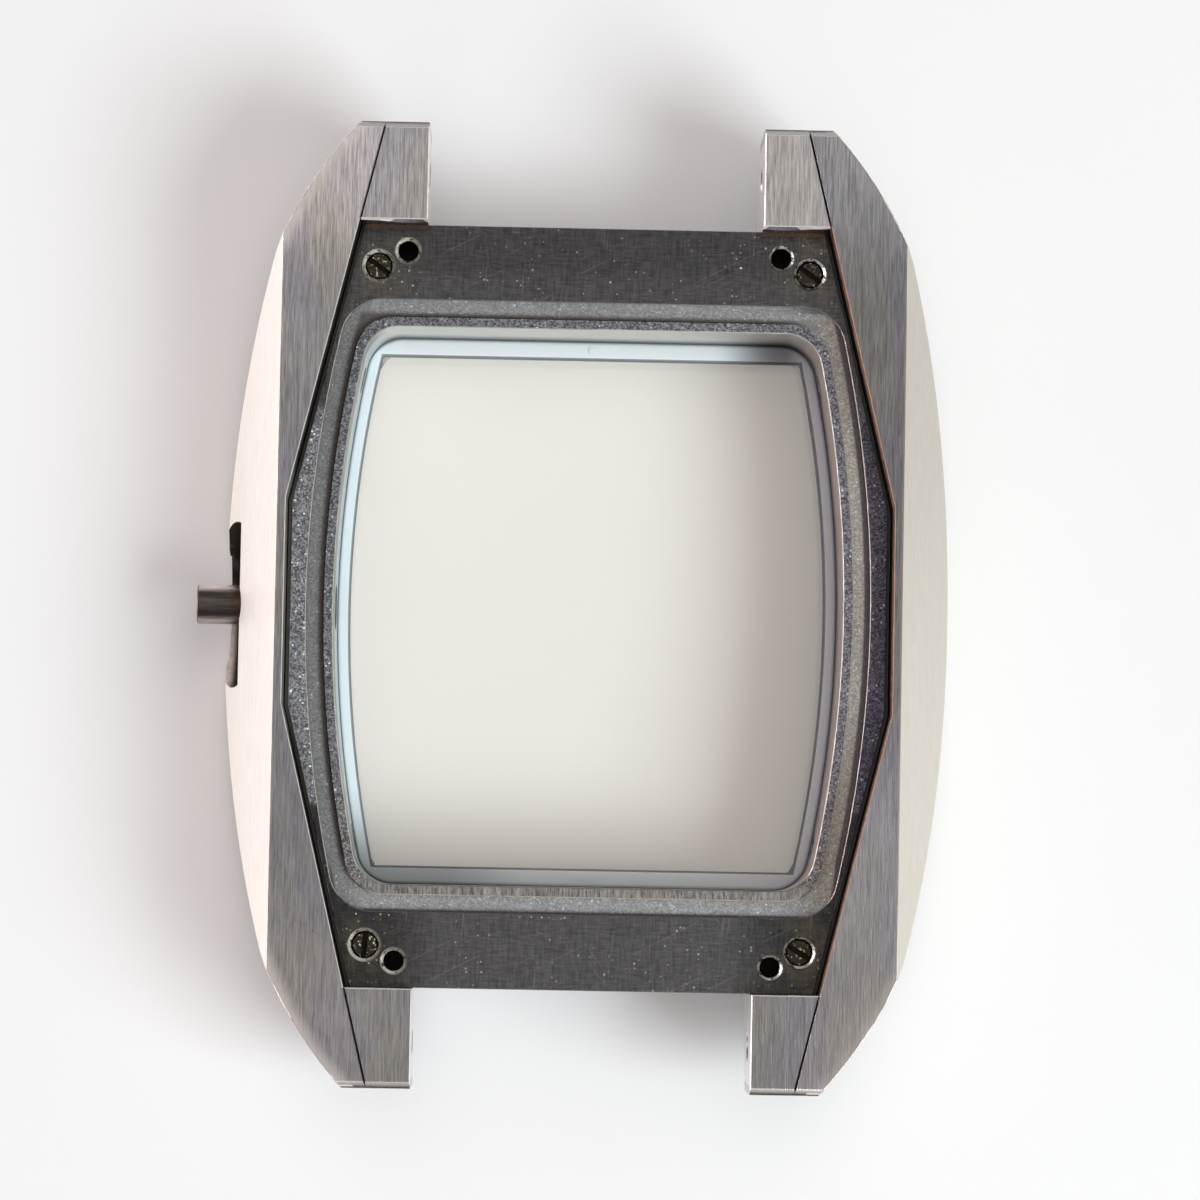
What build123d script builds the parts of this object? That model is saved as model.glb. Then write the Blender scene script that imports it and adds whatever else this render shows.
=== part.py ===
from build123d import *
import os
from math import asin, cos, sin, sqrt

# Barrel-shaped watch case without back cover, movement and crown, in millimetres.
# X runs across the case, Y from lug to lug, and Z from the flat front of the crystal to the back.

# Case as a whole
strap_gap = 18.0
half_length = 25.8
horn_length = 5.3
case_thickness = 11.0
ledge_drop = 2.1
lug_front_drop = 5.8
lug_root_inset = 0.5
front_rise = 1.7
lug_end_round = 0.45
edge_break = 0.05
ledge_edge_break = 0.03
overrun = 2.0

# Joint between body and flanks: straight beside the opening, then slanted to the lug ends
joint_half_width = 16.2
joint_knee_y = 5.5
horn_end_width = 2.3
joint_gap = 0.04
ledge_gap = 0.2
ledge_gap_depth = 0.6

# Flanks
back_rim_width = 0.5
side_edge_round = 0.06
flank_width = 3.65
flank_end_width = 1.3
flank_front_z = 0.4
side_middle_drop = 5.0
side_middle_inset = 0.9
side_widest_drop = 8.0
front_bevel = 0.25
shoulder_inset_y = 1.8
shoulder_inset_x = 2.75
cheek_radius = 22.0

# Opening, rim and gasket channel, from the inside out
wall_width = 2.5
corner_wall_width = 1.93
ledge_end_width = 5.5
opening_corner_radius = 2.0
rim_width = 0.55
rim_drop = 0.1
channel_width = 0.9
channel_depth = 0.5
channel_corner_growth = 0.3
rim_edge_break = 0.05
channel_edge_break = 0.04

# Crystal, its gasket, bezel and the bezel's gasket
crystal_plateau_depth = 1.7
crystal_flange_depth = 0.8
crystal_plateau_inset = 0.4
crystal_flange_overhang = 0.15
crystal_corner_radius = 1.6
crystal_bevel = 0.2
crystal_gap = 0.03
gasket_thickness = 0.6
gasket_wrap = 0.33
gasket_lip_side = 0.7
gasket_lip_end = 1.0
gasket_lip_corner_radius = 0.15
gasket_lip_round = 0.2
gasket_gate_radius = 0.2
gasket_gate_height = 0.05
bezel_front_z = 0.3
bezel_gap = 0.05
bezel_end_gap = 0.2
bezel_gasket_inset = 0.45
bezel_gasket_width = 0.5
bezel_gasket_depth = 0.45
bezel_bevel = 0.3

# Bezel screws and the threaded pillars that they pull on
screw_end_inset = 2.25
screw_side_inset = 1.5
screw_head_radius = 0.675
screw_head_height = 0.55
screw_head_drop = 0.3
screw_shank_radius = 0.5
screw_length = 4.7
screw_fit = 0.035
screw_slot_width = 0.28
screw_slot_depth = 0.22
screw_hole_rim = 0.2
screw_edge_round = 0.06
pillar_radius = 0.95
pillar_height = 2.9
pillar_gap = 0.04
slot_turns = {"upper_left": -35.0, "upper_right": -36.0, "lower_left": 86.0, "lower_right": -30.0}

# Tapped holes for the back cover's screws
cover_hole_end_inset = 1.42
cover_hole_side_inset = 2.87
cover_hole_radius = 0.53
cover_hole_depth = 2.4
cover_hole_rim = 0.2

# Screws and dowel pins that hold the flanks on the body
flank_screw_inset_y = 2.5
flank_fixing_z = 4.5
flank_screw_head_radius = 0.7
flank_screw_head_height = 0.6
flank_screw_head_drop = 0.1
flank_screw_radius = 0.5
flank_screw_reach = 1.8
flank_screw_slot_width = 0.22
flank_screw_slot_depth = 0.25
flank_screw_fit = 0.03
flank_pin_offset_y = 1.0
flank_pin_radius = 0.5
flank_pin_half_length = 1.5
flank_pin_fit = 0.01
flank_pin_bevel = 0.12

# Crown tube and the recess for the crown
tube_drop = 5.8
tube_outer_radius = 1.075
tube_root_radius = 1.25
tube_bore_radius = 0.65
tube_thread_radius = 1.2
tube_collar_radius = 1.7
tube_collar_thickness = 0.5
tube_reach = 2.3
tube_inner_inset = 0.2
tube_fit = 0.03
tube_end_bevel = 0.06
tube_seal_radius = 0.2
recess_radius = 4.5
recess_depth = 0.95
lip_relief_half_width = 2.9
lip_relief_depth = 0.2

# Holes for the strap bars in the inner faces of the lugs
strap_hole_end_inset = 2.4
strap_hole_drop = 3.7
strap_hole_radius = 0.6
strap_hole_depth = 2.0
strap_hole_rim = 0.2

# Levels and widths that follow from these sizes
gap_half_width = strap_gap / 2
end_face_y = half_length - horn_length
lug_root_y = end_face_y - lug_root_inset
opening_half_height = end_face_y - ledge_end_width
flank_screw_y = opening_half_height - flank_screw_inset_y
flank_pin_y = opening_half_height + flank_pin_offset_y
back_z = case_thickness
ledge_z = back_z - ledge_drop
rim_z = ledge_z - rim_drop
channel_z = ledge_z - channel_depth
body_front_z = crystal_plateau_depth + crystal_flange_depth + gasket_thickness
lug_end_front_z = back_z - lug_front_drop
joint_end_x = gap_half_width + horn_end_width
half_width = joint_half_width + flank_width
opening_half_width = joint_half_width - wall_width
tube_z = back_z - tube_drop
recess_floor_x = half_width - recess_depth
collar_inner_x = joint_half_width + joint_gap / 2
collar_outer_x = collar_inner_x + tube_collar_thickness
screw_seat_z = ledge_z - screw_head_drop - screw_head_height
front_radius = (lug_root_y**2 + front_rise**2) / (2 * front_rise)
corner_names = {"upper_left": (-1, 1), "upper_right": (1, 1), "lower_left": (-1, -1), "lower_right": (1, -1)}
side_names = {"crown_upper": (-1, 1), "crown_lower": (-1, -1), "plain_upper": (1, 1), "plain_lower": (1, -1)}


def arc_rise(radius, reach):
    """Height that an arc of this radius gains over a distance from its crest."""
    return radius - sqrt(radius**2 - reach**2)


def joint_x(y):
    """Half-width of the joint between body and flank at a distance from the middle."""
    if y <= joint_knee_y:
        return joint_half_width
    slope = (joint_half_width - joint_end_x) / (half_length - joint_knee_y)
    return joint_half_width - slope * (y - joint_knee_y)


opening_bow = opening_half_width - (joint_x(opening_half_height) - corner_wall_width)
opening_side_radius = (opening_half_height**2 + opening_bow**2) / (2 * opening_bow)


def opening_side_x(y, growth):
    """Half-width of the opening, grown by a margin, at a distance from the middle."""
    return opening_half_width + growth - arc_rise(opening_side_radius + growth, y)


def layer(face, low, high):
    """Solid with this outline between two levels."""
    return extrude(Pos(0, 0, low) * face, high - low)


def barrel(growth_x, growth_y, corner_radius):
    """Outline of the opening, grown sideways and lengthways: straight ends and bowed sides."""
    width = opening_half_width + growth_x
    height = opening_half_height + growth_y
    corner_x = opening_side_x(height, growth_x)
    right = ThreePointArc((corner_x, height), (width, 0), (corner_x, -height))
    left = ThreePointArc((-corner_x, -height), (-width, 0), (-corner_x, height))
    top = Line((-corner_x, height), (corner_x, height))
    bottom = Line((corner_x, -height), (-corner_x, -height))
    face = make_face([right, bottom, left, top])
    return fillet(face.vertices(), corner_radius)


def broken_edge(growth, corner_radius, level, width):
    """Cutter for the broken edge of an outline around the opening at this level."""
    cutter = layer(barrel(growth + width, growth + width, corner_radius + width), level - width, back_z)
    return chamfer(cutter.edges().group_by(Axis.Z)[0], width)


def rod(radius, start_x, end_x, y, z):
    """Round bar along X between two places."""
    length = abs(end_x - start_x)
    middle = (start_x + end_x) / 2
    return Pos(middle, y, z) * Rot(0, 90, 0) * Cylinder(radius, length)


def post(radius, x, y, low, high):
    """Round bar along Z between two levels."""
    return Pos(x, y, (low + high) / 2) * Cylinder(radius, high - low)


def sunk_edge(x, y, level, radius, rim):
    """Cutter for the bevelled mouth of a hole that opens at this level."""
    depth = rim + overrun
    return Pos(x, y, level - rim + depth / 2) * Cone(radius, radius + depth, depth)


def lengthways_profile(front_z):
    """Side view of the case: flat back, rounded lug ends, front bowed from lug to lug."""
    root_z = front_z + front_rise
    middle = ThreePointArc((-lug_root_y, root_z), (0, front_z), (lug_root_y, root_z))
    steepness = asin(lug_root_y / front_radius)
    right = TangentArc(
        (lug_root_y, root_z), (half_length, lug_end_front_z), tangent=(cos(steepness), sin(steepness))
    )
    right_end = Line((half_length, lug_end_front_z), (half_length, back_z))
    back = Line((half_length, back_z), (-half_length, back_z))
    left_end = Line((-half_length, back_z), (-half_length, lug_end_front_z))
    left = TangentArc(
        (-lug_root_y, root_z), (-half_length, lug_end_front_z), tangent=(-cos(steepness), sin(steepness))
    )
    face = make_face([middle, right, right_end, back, left_end, left])
    face = fillet(face.vertices().sort_by(Axis.Y)[-2:], lug_end_round)
    return extrude(Plane.YZ * face, half_width + overrun, both=True)


def middle_outline(inset, end_y):
    """Plan of the middle of the case between the flanks, set back from the joint on both sides."""
    knee = (joint_half_width - inset, joint_knee_y)
    corner = (joint_x(end_y) - inset, end_y)
    points = [corner, knee, (knee[0], -knee[1]), (corner[0], -corner[1])]
    points += [(-x, y) for x, y in reversed(points)]
    return make_face(Polyline(*points, close=True))


def horn_outline():
    """Plan of the lug horn at the upper right, from the end face to the lug end."""
    root_x = joint_x(end_face_y)
    points = [(gap_half_width, end_face_y), (root_x, end_face_y)]
    points += [(joint_end_x, half_length), (gap_half_width, half_length)]
    return make_face(Polyline(*points, close=True))


def screw_place(sign_x, sign_y):
    """Middle of a bezel screw."""
    y = end_face_y - screw_end_inset
    return sign_x * (joint_x(y) - screw_side_inset), sign_y * y


def cover_hole_place(sign_x, sign_y):
    """Middle of a tapped hole for the back cover."""
    y = end_face_y - cover_hole_end_inset
    return sign_x * (joint_x(y) - cover_hole_side_inset), sign_y * y


def make_case_body():
    """Middle of the case with opening, ledge, gasket channel, horns and all its holes."""
    top = layer(middle_outline(ledge_gap, end_face_y), body_front_z, ledge_z)
    top = chamfer(top.edges().group_by(Axis.Z)[-1], ledge_edge_break)
    body = layer(middle_outline(0, end_face_y), body_front_z, ledge_z - ledge_gap_depth) + top
    for sign_x, sign_y in corner_names.values():
        body += make_horn(sign_x, sign_y)
    channel_growth = rim_width + channel_width
    channel_corner = opening_corner_radius + channel_corner_growth
    channel = layer(barrel(channel_growth, channel_growth, channel_corner), channel_z, back_z)
    rim = layer(barrel(rim_width, rim_width, (opening_corner_radius + channel_corner) / 2), channel_z, rim_z)
    body -= channel - chamfer(rim.edges().group_by(Axis.Z)[-1], rim_edge_break)
    body -= broken_edge(channel_growth, channel_corner, ledge_z, channel_edge_break)
    body -= layer(barrel(0, 0, opening_corner_radius), 0, back_z)
    body -= broken_edge(0, opening_corner_radius, rim_z, rim_edge_break)
    for sign_x, sign_y in corner_names.values():
        body -= bezel_screw_hole(sign_x, sign_y)
        body -= cover_hole(sign_x, sign_y)
        body -= strap_hole(sign_x, sign_y)
        body -= flank_screw_hole(sign_x, sign_y)
        body -= flank_pin_hole(sign_x, sign_y)
    body -= rod(tube_thread_radius + tube_fit, 0, -half_width, 0, tube_z)
    return body


def make_horn(sign_x, sign_y):
    """Lug horn with broken edges, reaching a little way down into the body."""
    horn = layer(horn_outline(), 0, back_z)
    horn = chamfer(horn.edges().group_by(Axis.Z)[-1], edge_break)
    horn = horn & lengthways_profile(flank_front_z)
    if sign_x < 0:
        horn = mirror(horn, Plane.YZ)
    if sign_y < 0:
        horn = mirror(horn, Plane.XZ)
    return horn


def bezel_screw_hole(sign_x, sign_y):
    """Sunk head seat, clearance hole and pocket for the bezel's pillar."""
    x, y = screw_place(sign_x, sign_y)
    head_radius = screw_head_radius + screw_fit
    pillar_top = body_front_z + pillar_height + pillar_gap
    hole = post(head_radius, x, y, screw_seat_z, back_z)
    hole += sunk_edge(x, y, ledge_z, head_radius, screw_hole_rim)
    hole += post(screw_shank_radius + screw_fit, x, y, 0, back_z)
    hole += post(pillar_radius + pillar_gap, x, y, 0, pillar_top)
    return hole


def cover_hole(sign_x, sign_y):
    """Blind tapped hole with a bevelled mouth in the ledge."""
    x, y = cover_hole_place(sign_x, sign_y)
    hole = post(cover_hole_radius, x, y, ledge_z - cover_hole_depth, back_z)
    return hole + sunk_edge(x, y, ledge_z, cover_hole_radius, cover_hole_rim)


def strap_hole(sign_x, sign_y):
    """Blind hole for a strap bar in the inner face of a lug."""
    y = sign_y * (half_length - strap_hole_end_inset)
    z = back_z - strap_hole_drop
    inside = gap_half_width - overrun
    bottom = gap_half_width + strap_hole_depth
    hole = rod(strap_hole_radius, sign_x * inside, sign_x * bottom, y, z)
    depth = strap_hole_rim + overrun
    mouth = Cone(strap_hole_radius + depth, strap_hole_radius, depth)
    middle = gap_half_width + strap_hole_rim - depth / 2
    return hole + Pos(sign_x * middle, y, z) * Rot(0, 90 * sign_x, 0) * mouth


def flank_screw_head_x():
    """Distance from the middle to the outer face of a flank screw's head."""
    return opening_side_x(flank_screw_y, 0) + flank_screw_head_drop


def flank_screw_hole(sign_x, sign_y):
    """Sunk seat in the wall of the opening, clearance hole and thread in the flank."""
    head_x = flank_screw_head_x()
    seat_x = head_x + flank_screw_head_height
    end_x = joint_x(flank_screw_y) + flank_screw_reach
    y = sign_y * flank_screw_y
    fit = flank_screw_fit
    hole = rod(flank_screw_head_radius + fit, sign_x * (head_x - overrun), sign_x * seat_x, y, flank_fixing_z)
    return hole + rod(flank_screw_radius + fit, sign_x * head_x, sign_x * (end_x + fit), y, flank_fixing_z)


def flank_pin_hole(sign_x, sign_y):
    """Hole for a dowel pin across the joint between body and flank."""
    middle = joint_x(flank_pin_y)
    start = middle - flank_pin_half_length - flank_pin_fit
    end = middle + flank_pin_half_length + flank_pin_fit
    radius = flank_pin_radius + flank_pin_fit
    return rod(radius, sign_x * start, sign_x * end, sign_y * flank_pin_y, flank_fixing_z)


def flank_outline():
    """Plan of the right flank, from the joint out to the barrel-shaped edge."""
    inner_end = joint_end_x + joint_gap
    inner = joint_half_width + joint_gap
    outer_end = joint_end_x + flank_end_width
    shoulder_x = half_width - shoulder_inset_x
    shoulder_y = end_face_y - shoulder_inset_y
    inside = Polyline(
        (outer_end, half_length), (inner_end, half_length), (inner, joint_knee_y),
        (inner, -joint_knee_y), (inner_end, -half_length), (outer_end, -half_length),
    )
    lower_cheek = RadiusArc((outer_end, -half_length), (shoulder_x, -shoulder_y), -cheek_radius)
    side = ThreePointArc((shoulder_x, -shoulder_y), (half_width, 0), (shoulder_x, shoulder_y))
    upper_cheek = RadiusArc((shoulder_x, shoulder_y), (outer_end, half_length), -cheek_radius)
    return make_face([inside, lower_cheek, side, upper_cheek])


def flank_section():
    """Cross-section of the right flank: flat back, bowed side leaning outwards, bevelled front edge."""
    back_x = joint_half_width + back_rim_width
    side = ThreePointArc(
        (back_x, back_z),
        (half_width - side_middle_inset, back_z - side_middle_drop),
        (half_width, back_z - side_widest_drop),
    )
    rest = Polyline(
        (half_width, back_z - side_widest_drop), (half_width - front_bevel, flank_front_z),
        (0, flank_front_z), (0, back_z), (back_x, back_z),
    )
    face = make_face([side, rest])
    return extrude(Plane.XZ * face, half_length + overrun, both=True)


def make_flank():
    """Right flank without holes."""
    flank = layer(flank_outline(), 0, back_z)
    flank = flank & flank_section()
    back_edges = flank.edges().group_by(Axis.Z)[-1]
    joint_edges = [e for e in back_edges if is_joint_edge(e)]
    flank = chamfer(joint_edges, edge_break)
    back_edges = flank.edges().group_by(Axis.Z)[-1]
    outer_edges = [e for e in back_edges if is_outer_edge(e)]
    flank = fillet(outer_edges, side_edge_round)
    return flank & lengthways_profile(flank_front_z)


def is_joint_edge(edge):
    """Whether an edge of the flank's back lies on the joint."""
    middle = edge @ 0.5
    return abs(middle.X - joint_x(abs(middle.Y)) - joint_gap) < joint_gap / 2


def is_outer_edge(edge):
    """Whether an edge of the flank's back lies on its barrel-shaped side."""
    middle = edge @ 0.5
    inside = abs(middle.Y) < half_length - edge_break
    return inside and middle.X - joint_x(abs(middle.Y)) > 2 * joint_gap + edge_break


def flank_holes(sign_x):
    """Cutter for the screw and pin holes of one flank."""
    holes = flank_screw_hole(sign_x, 1) + flank_screw_hole(sign_x, -1)
    return holes + flank_pin_hole(sign_x, 1) + flank_pin_hole(sign_x, -1)


def make_plain_side_flank():
    """Flank on the right, with no opening in its side."""
    return make_flank() - flank_holes(1)


def make_crown_side_flank():
    """Flank on the left, with the crown's recess and the passage and collar seat of the crown tube."""
    flank = mirror(make_flank(), Plane.YZ) - flank_holes(-1)
    outside = half_width + overrun
    flank -= rod(recess_radius, -recess_floor_x, -outside, 0, tube_z)
    relief_x = half_width - lip_relief_depth
    relief_width = outside - relief_x
    flank -= Pos(-(relief_x + relief_width / 2), 0, tube_z / 2) * Box(
        relief_width, 2 * lip_relief_half_width, tube_z
    )
    flank -= rod(tube_root_radius + tube_fit, 0, -outside, 0, tube_z)
    seat_x = collar_outer_x + 2 * tube_seal_radius + tube_fit
    return flank - rod(tube_collar_radius + tube_fit, 0, -seat_x, 0, tube_z)


def make_bezel():
    """Front frame: lip over the crystal's flange, groove for its gasket and four threaded pillars."""
    bezel = layer(middle_outline(bezel_gap, end_face_y - bezel_end_gap), 0, body_front_z)
    bezel = bezel & lengthways_profile(bezel_front_z)
    bezel = chamfer(bezel.faces().sort_by(Axis.Z)[0].edges(), bezel_bevel)
    bezel -= layer(crystal_plateau_outline(crystal_gap), 0, body_front_z)
    bezel -= layer(gasket_outer_outline(crystal_gap), crystal_plateau_depth, body_front_z)
    bezel -= bezel_gasket_ring(0)
    for sign_x, sign_y in corner_names.values():
        x, y = screw_place(sign_x, sign_y)
        top = body_front_z + pillar_height
        bezel += post(pillar_radius, x, y, body_front_z - bezel_gasket_depth, top)
        bezel -= post(screw_shank_radius + screw_fit, x, y, screw_seat_z - screw_length - screw_fit, top)
    return bezel


def crystal_plateau_outline(growth):
    """Outline of the part of the crystal that stands in the bezel's window."""
    return barrel(growth - crystal_plateau_inset, growth - crystal_plateau_inset, crystal_corner_radius)


def gasket_outer_outline(growth):
    """Outer outline of the crystal's gasket."""
    reach = crystal_flange_overhang + gasket_wrap + growth
    return barrel(reach, reach, opening_corner_radius)


def make_crystal():
    """Flat crystal with a stepped edge."""
    flange_outline = barrel(crystal_flange_overhang, crystal_flange_overhang, crystal_corner_radius)
    plateau = layer(crystal_plateau_outline(0), 0, crystal_plateau_depth)
    plateau = chamfer(plateau.edges().group_by(Axis.Z)[0], crystal_bevel)
    flange = layer(flange_outline, crystal_plateau_depth, crystal_plateau_depth + crystal_flange_depth)
    return plateau + flange


def make_crystal_gasket():
    """Gasket behind and around the crystal's flange, with a lip that shows inside the opening."""
    flange_outline = barrel(crystal_flange_overhang, crystal_flange_overhang, crystal_corner_radius)
    flange_back = crystal_plateau_depth + crystal_flange_depth
    ring = layer(gasket_outer_outline(0), crystal_plateau_depth, body_front_z)
    ring -= layer(flange_outline, 0, flange_back)
    ring -= layer(barrel(0, 0, opening_corner_radius), flange_back, body_front_z)
    lip = layer(barrel(0, 0, opening_corner_radius), flange_back, body_front_z)
    lip -= layer(barrel(-gasket_lip_side, -gasket_lip_end, gasket_lip_corner_radius), 0, body_front_z)
    lip = fillet(lip.edges().group_by(Axis.Z)[-1], gasket_lip_round)
    gate_y = opening_half_height - gasket_lip_end / 2
    for side_y in (-gate_y, gate_y):
        lip += post(gasket_gate_radius, 0, side_y, flange_back, body_front_z + gasket_gate_height)
    return ring + lip


def bezel_gasket_ring(shrink):
    """Ring that lies in the groove in the back of the bezel."""
    inner = crystal_flange_overhang + gasket_wrap + bezel_gasket_inset + shrink
    outer = inner + bezel_gasket_width - 2 * shrink
    low = body_front_z - bezel_gasket_depth + shrink
    ring = layer(barrel(outer, outer, opening_corner_radius + outer), low, body_front_z)
    return ring - layer(barrel(inner, inner, opening_corner_radius + inner), low, body_front_z)


def make_crown_tube():
    """Tube that is screwed into the body, with a collar that sits in the flank's inner face."""
    inner_end = opening_half_width + tube_inner_inset
    outer_end = recess_floor_x + tube_reach
    tube = rod(tube_outer_radius, -recess_floor_x, -outer_end, 0, tube_z)
    tube = chamfer(tube.edges().group_by(Axis.X)[0], tube_end_bevel)
    tube += rod(tube_root_radius, -collar_inner_x, -recess_floor_x, 0, tube_z)
    tube += rod(tube_collar_radius, -collar_inner_x, -collar_outer_x, 0, tube_z)
    tube += rod(tube_thread_radius, -inner_end, -collar_inner_x, 0, tube_z)
    return tube - rod(tube_bore_radius, 0, -outer_end - overrun, 0, tube_z)


def make_crown_tube_seal():
    """Ring between the tube's collar and the flank."""
    x = collar_outer_x + tube_seal_radius
    major = (tube_root_radius + tube_collar_radius) / 2
    return Pos(-x, 0, tube_z) * Rot(0, 90, 0) * Torus(major, tube_seal_radius)


def make_bezel_screw(name):
    """Slotted screw that pulls one pillar of the bezel towards the ledge."""
    x, y = screw_place(*corner_names[name])
    head_top = screw_seat_z + screw_head_height
    screw = post(screw_head_radius, x, y, screw_seat_z, head_top)
    screw = fillet(screw.edges().group_by(Axis.Z)[-1], screw_edge_round)
    screw += post(screw_shank_radius, x, y, screw_seat_z - screw_length, head_top - screw_slot_depth)
    slot_length = 2 * screw_head_radius + overrun
    slot = Box(slot_length, screw_slot_width, 2 * screw_slot_depth)
    return screw - Pos(x, y, head_top) * Rot(0, 0, slot_turns[name]) * slot


def make_flank_screw(sign_x, sign_y):
    """Slotted screw from the inside of the opening into a flank."""
    head_x = flank_screw_head_x()
    seat_x = head_x + flank_screw_head_height
    end_x = joint_x(flank_screw_y) + flank_screw_reach
    y = sign_y * flank_screw_y
    screw = rod(flank_screw_head_radius, sign_x * head_x, sign_x * seat_x, y, flank_fixing_z)
    screw += rod(flank_screw_radius, sign_x * seat_x, sign_x * end_x, y, flank_fixing_z)
    slot_length = 2 * flank_screw_head_radius + overrun
    slot = Box(2 * flank_screw_slot_depth, slot_length, flank_screw_slot_width)
    return screw - Pos(sign_x * head_x, y, flank_fixing_z) * slot


def make_flank_pin(sign_x, sign_y):
    """Dowel pin with bevelled ends across the joint."""
    middle = joint_x(flank_pin_y)
    start = sign_x * (middle - flank_pin_half_length)
    end = sign_x * (middle + flank_pin_half_length)
    pin = rod(flank_pin_radius, start, end, sign_y * flank_pin_y, flank_fixing_z)
    ends = pin.edges().filter_by(GeomType.CIRCLE)
    return chamfer(ends, flank_pin_bevel)


def make_parts():
    """All pieces of the case under their names."""
    parts = {
        "case_body": make_case_body(),
        "crown_side_flank": make_crown_side_flank(),
        "plain_side_flank": make_plain_side_flank(),
        "bezel": make_bezel(),
        "crystal": make_crystal(),
        "crystal_gasket": make_crystal_gasket(),
        "bezel_gasket": bezel_gasket_ring(joint_gap),
        "crown_tube": make_crown_tube(),
        "crown_tube_seal": make_crown_tube_seal(),
    }
    for name in corner_names:
        parts["bezel_screw_" + name] = make_bezel_screw(name)
    for name, signs in side_names.items():
        parts["flank_screw_" + name] = make_flank_screw(*signs)
        parts["flank_pin_" + name] = make_flank_pin(*signs)
    return parts


os.makedirs("parts", exist_ok=True)
for part_name, part_shape in make_parts().items():
    export_step(part_shape, "parts/" + part_name + ".step")
    print(part_name, round(part_shape.volume, 3), len(part_shape.solids()))
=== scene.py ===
from math import cos, radians, sin
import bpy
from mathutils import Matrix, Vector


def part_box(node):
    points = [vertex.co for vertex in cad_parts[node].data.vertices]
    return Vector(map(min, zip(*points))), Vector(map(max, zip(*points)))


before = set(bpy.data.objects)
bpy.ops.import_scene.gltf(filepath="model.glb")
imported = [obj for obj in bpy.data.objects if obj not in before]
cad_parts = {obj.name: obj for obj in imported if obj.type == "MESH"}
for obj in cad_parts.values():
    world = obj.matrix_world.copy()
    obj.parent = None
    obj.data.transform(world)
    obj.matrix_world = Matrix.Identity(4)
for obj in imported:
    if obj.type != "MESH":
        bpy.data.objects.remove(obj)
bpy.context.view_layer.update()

from types import SimpleNamespace

import bpy
from mathutils import Matrix, Vector

# Sizes of the case in millimetres, which the finishes follow
mm = 0.001
per_metre = 1000
back_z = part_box("case_body")[1].z / mm
half_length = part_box("case_body")[1].y / mm
ledge_z = back_z - 2.1
rim_z = ledge_z - 0.1
channel_z = ledge_z - 0.5
gap_floor_z = ledge_z - 0.6
mouth_foot_z = ledge_z - 0.18
joint_foot_z = 2.2
end_face_y = half_length - 5.3
opening_half_height = 15.0
opening_side_radius = 66.15
opening_side_centre = 52.45
blasted_reach = 10.6
mouth_reach = 12.9
lug_end_round = 0.45
cheek_radius = 22.0
cheek_centre = (-3.39, 10.69)
cheek_start_y = 15
side_edge_x = 16.7
screw_place = (11.62, 18.25)
slot_top_z = ledge_z - 0.4
slot_floor_z = ledge_z - 0.56
head_foot_z = ledge_z - 1.0
tube_z = back_z - 5.8
tube_end_x = -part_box("crown_tube")[0].x / mm
tube_lip = 0.07
recess_floor_x = 18.9
recess_radius = 4.5
recess_depth = 0.95
ring_width_side = 0.7
ring_width_end = 1.0
ring_dark_line = 0.12
level_play = 0.04
line_play = 0.02

# Camera of the photograph: its tilt about the middle of the case's back, that point's shift, and its height
picture_side = 1200
camera_height = 240.0
camera_pitch = radians(-3.41)
camera_roll = radians(0.85)
camera_turn = radians(-1.07)
camera_shift_x = -0.59
camera_shift_y = -0.29
pixels_per_mm = 18.796
sensor_width = 36.0
clip_start = 0.01

# Light: a key softbox at the lower right, a low one on the left, and a tent that is dimmer overhead
key_azimuth = radians(-30)
key_elevation = radians(48)
key_distance = 0.5
key_size = 0.24
key_power = 1.64
key_tint = (0.93, 1.01, 1.03)
left_azimuth = radians(172)
left_elevation = radians(6)
left_distance = 0.45
left_width = 0.5
left_height = 0.09
left_power = 1.3
left_tint = (1.1, 0.98, 1.02)
tent_low = ((0.34, 0.3, 0.32, 1), (0.6, 0.6, 0.6, 1))
tent_middle = (0.32, 0.3, 0.31, 1)
tent_top = ((0.76, 0.7, 0.66, 1), (1.22, 1.14, 1.06, 1))
floor_side = 4.0
floor_drop = 0.02 * mm
floor_colour = (0.92, 0.92, 0.92)
floor_glow = (0.97, 0.955, 0.95, 1)
floor_lift = 0.08

# Colours and tints; where there are two, the finish lies between them
brushed_tones = ((0.165, 0.163, 0.166, 1), (0.33, 0.328, 0.328, 1))
brushed_blue = (0.95, 0.96, 1.07)
brushed_mark = (0.05, 0.046, 0.045, 1)
brushed_rough = (0.34, 0.26)
# Lug ends: a painted highlight band, a painted shade band and a brownish foot
lug_end_highlight = (0.85, 0.82, 0.78, 1)
lug_end_foot = (0.6, 0.54, 0.48, 1)
lug_end_shade = (0.03, 0.026, 0.024, 1)
flank_end_tints = ((1.06, 1.02, 0.98, 1), (0.96, 1.0, 1.07, 1))
soft_edge_tones = ((0.62, 0.575, 0.55, 1), (0.48, 0.43, 0.4, 1))
brown_edge_tone = (0.36, 0.25, 0.2, 1)
# Flank sides: pale on the left as painted light, beige on the right as painted shade
lit_left_side_tones = ((0.725, 0.708, 0.645, 1), (0.828, 0.805, 0.74, 1))
shaded_right_side_tones = ((0.63, 0.58, 0.51, 1), (0.71, 0.66, 0.585, 1))
# Painted highlight along the cheeks' rims; pinkish beside them on the right
cheek_rim_highlight_tones = ((0.95, 0.89, 0.85, 1), (0.95, 0.8, 0.68, 1))
pink_rim_tone = (0.42, 0.34, 0.32, 1)
left_wall_tone = (0.2, 0.195, 0.185, 1)
rust_tones = ((0.1, 0.058, 0.042, 1), (0.44, 0.27, 0.175, 1))
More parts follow.
